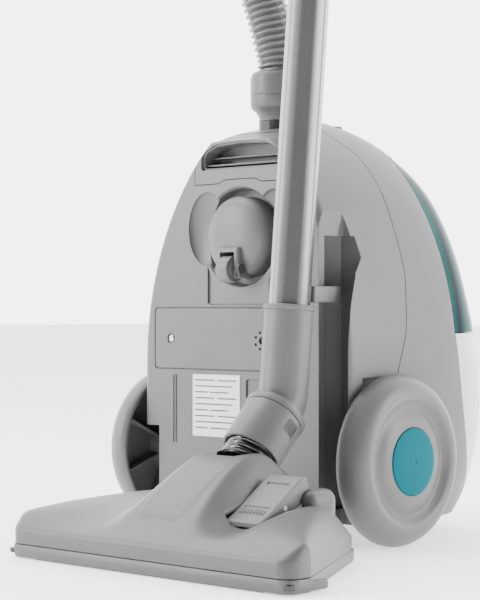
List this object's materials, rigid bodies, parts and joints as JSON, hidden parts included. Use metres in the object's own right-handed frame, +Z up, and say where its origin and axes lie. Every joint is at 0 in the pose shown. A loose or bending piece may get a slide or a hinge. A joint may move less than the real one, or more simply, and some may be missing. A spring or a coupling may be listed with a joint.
{
  "type": "canister vacuum cleaner",
  "caption": "Bagless canister vacuum cleaner parked on its rear end, with wand, swivel neck, floor head and suction hose.",
  "frame": {"origin": "centre of the whole assembly's footprint, hose apart, on the floor it is parked on", "axes": "+Z up, along the machine's length as parked and the wand; -Y the way the underside faces; +X towards the parked wand"},
  "size_m": [0.4018, 0.4544, 1.27],
  "materials": {
    "grey_plastic": "satin moulded plastic, fine grain",
    "dark_grey_plastic": "satin moulded plastic, fine grain",
    "black_plastic": "matt moulded plastic",
    "bristle": "bristle strip",
    "rubber": "matt rubber",
    "teal_clear": "tinted clear plastic, polished",
    "teal_plastic": "satin coloured plastic",
    "white_plastic": "glossy moulded plastic",
    "steel": "satin steel",
    "filter": "filter medium",
    "felt": "felt pile",
    "hose_plastic": "glossy corrugated plastic",
    "label": "paper label, blank bars only"
  },
  "bodies": {
    "canister": {"base_shell": "grey_plastic", "upper_shell": "grey_plastic", "front_cover": "grey_plastic", "service_panel": "grey_plastic", "service_screw": "steel", "rating_label": "label", "rear_cover": "white_plastic", "exhaust_grille": "black_plastic", "exhaust_filter": "filter", "hose_inlet": "black_plastic", "motor": "steel", "fan_housing": "black_plastic", "motor_seal": "rubber", "motor_filter": "filter", "reel_spindle": "steel", "cord_outlet": "black_plastic", "axle_left": "steel", "axle_right": "steel", "rear_foot_left": "rubber", "rear_foot_right": "rubber"},
    "dust_cup": {"dust_container": "teal_clear", "dust_bin": "teal_clear", "cyclone_filter": "white_plastic"},
    "release": {"release_button": "dark_grey_plastic"},
    "reel": {"cord_reel": "dark_grey_plastic"},
    "power": {"power_button": "dark_grey_plastic"},
    "rewind": {"rewind_button": "dark_grey_plastic"},
    "wheel_l": {"wheel_left": "grey_plastic", "hub_cap_left": "teal_plastic"},
    "wheel_r": {"wheel_right": "grey_plastic", "hub_cap_right": "teal_plastic"},
    "caster": {"caster_turntable": "grey_plastic", "caster_pin": "steel"},
    "caster_roller": {"caster_wheel": "dark_grey_plastic"},
    "cuff": {"hose_cuff": "grey_plastic"},
    "wand_upper": {"hose": "hose_plastic", "upper_tube": "steel", "handle_grip": "grey_plastic", "handle_cuff": "grey_plastic"},
    "slider": {"suction_slider": "dark_grey_plastic"},
    "wand_lower": {"lower_tube": "grey_plastic", "telescope_collar": "dark_grey_plastic", "parking_hook": "grey_plastic", "elbow": "grey_plastic"},
    "tube_latch": {"telescope_button": "black_plastic"},
    "neck": {"neck_sleeve": "grey_plastic", "bellows": "rubber"},
    "floor_head": {"head_housing": "dark_grey_plastic", "head_base": "dark_grey_plastic", "soleplate": "black_plastic", "felt_strip": "felt", "pedal_pin": "steel"},
    "pedal": {"pedal": "grey_plastic"},
    "brush": {"brush_strip": "bristle"},
    "roller_l": {"head_roller_left": "dark_grey_plastic"},
    "roller_r": {"head_roller_right": "dark_grey_plastic"}
  },
  "joints": [
    {"name": "dust_cup_lift", "type": "slide", "parent": "canister", "child": "dust_cup", "axis": [0, 1, 0], "range_m": [0, 0.13]},
    {"name": "release_press", "type": "slide", "parent": "canister", "child": "release", "axis": [0, 0, -1], "range_m": [0, 0.003], "stiffness_N_per_m": 400, "springref_m": -0.001},
    {"name": "reel_turn", "type": "hinge", "parent": "canister", "child": "reel", "pos_m": [-0.103, 0.05525, 0.074], "axis": [1, 0, 0], "continuous": true},
    {"name": "power_press", "type": "slide", "parent": "canister", "child": "power", "axis": [0, -1, 0], "range_m": [0, 0.003], "stiffness_N_per_m": 400, "springref_m": -0.001},
    {"name": "rewind_press", "type": "slide", "parent": "canister", "child": "rewind", "axis": [0, -1, 0], "range_m": [0, 0.003], "stiffness_N_per_m": 400, "springref_m": -0.001},
    {"name": "wheel_left_turn", "type": "hinge", "parent": "canister", "child": "wheel_l", "pos_m": [-0.173, 0.02925, 0.0716], "axis": [1, 0, 0], "continuous": true},
    {"name": "wheel_right_turn", "type": "hinge", "parent": "canister", "child": "wheel_r", "pos_m": [0.087, 0.02925, 0.0716], "axis": [1, 0, 0], "continuous": true},
    {"name": "caster_swivel", "type": "hinge", "parent": "canister", "child": "caster", "pos_m": [-0.043, -0.02075, 0.259], "axis": [0, -1, 0], "continuous": true},
    {"name": "caster_wheel_turn", "type": "hinge", "parent": "caster", "child": "caster_roller", "pos_m": [-0.043, -0.03375, 0.231], "axis": [1, 0, 0], "continuous": true},
    {"name": "hose_cuff_swivel", "type": "hinge", "parent": "canister", "child": "cuff", "pos_m": [-0.043, 0.03125, 0.38], "axis": [0, 0, 1], "continuous": true},
    {"name": "wand_unhook", "type": "slide", "parent": "canister", "child": "wand_upper", "axis": [0, 0.0958, 0.9954], "range_m": [0, 0.1]},
    {"name": "suction_slide", "type": "slide", "parent": "wand_upper", "child": "slider", "axis": [0, 0.0958, 0.9954], "range_m": [0, 0.01]},
    {"name": "wand_telescope", "type": "slide", "parent": "wand_upper", "child": "wand_lower", "axis": [0, 0.0958, 0.9954], "range_m": [-0.28, 0]},
    {"name": "tube_latch_slide", "type": "slide", "parent": "wand_lower", "child": "tube_latch", "axis": [0, 0.0958, 0.9954], "range_m": [0, 0.004], "stiffness_N_per_m": 400, "springref_m": -0.001},
    {"name": "neck_swivel", "type": "hinge", "parent": "wand_lower", "child": "neck", "pos_m": [0.0444, -0.07315, 0.1137], "axis": [0, -0.7071, -0.7071], "range_deg": [-10, 10]},
    {"name": "head_tilt", "type": "hinge", "parent": "neck", "child": "floor_head", "pos_m": [0.0444, -0.12075, 0.062], "axis": [-1, 0, 0], "range_deg": [-8, 30], "deforming": ["bellows"]},
    {"name": "pedal_rock", "type": "hinge", "parent": "floor_head", "child": "pedal", "pos_m": [0.1025, -0.14875, 0.049], "axis": [-1, 0, 0], "range_deg": [0, 8]},
    {"name": "brush_drop", "type": "slide", "parent": "floor_head", "child": "brush", "axis": [0, 0, -1], "range_m": [0, 0.005]},
    {"name": "roller_left_turn", "type": "hinge", "parent": "floor_head", "child": "roller_l", "pos_m": [-0.0076, -0.08075, 0.006], "axis": [1, 0, 0], "continuous": true},
    {"name": "roller_right_turn", "type": "hinge", "parent": "floor_head", "child": "roller_r", "pos_m": [0.0964, -0.08075, 0.006], "axis": [1, 0, 0], "continuous": true}
  ],
  "couplings": [
    {"joint": "brush_drop", "follows": "pedal_rock", "m_per_rad": 0.03581}
  ]
}
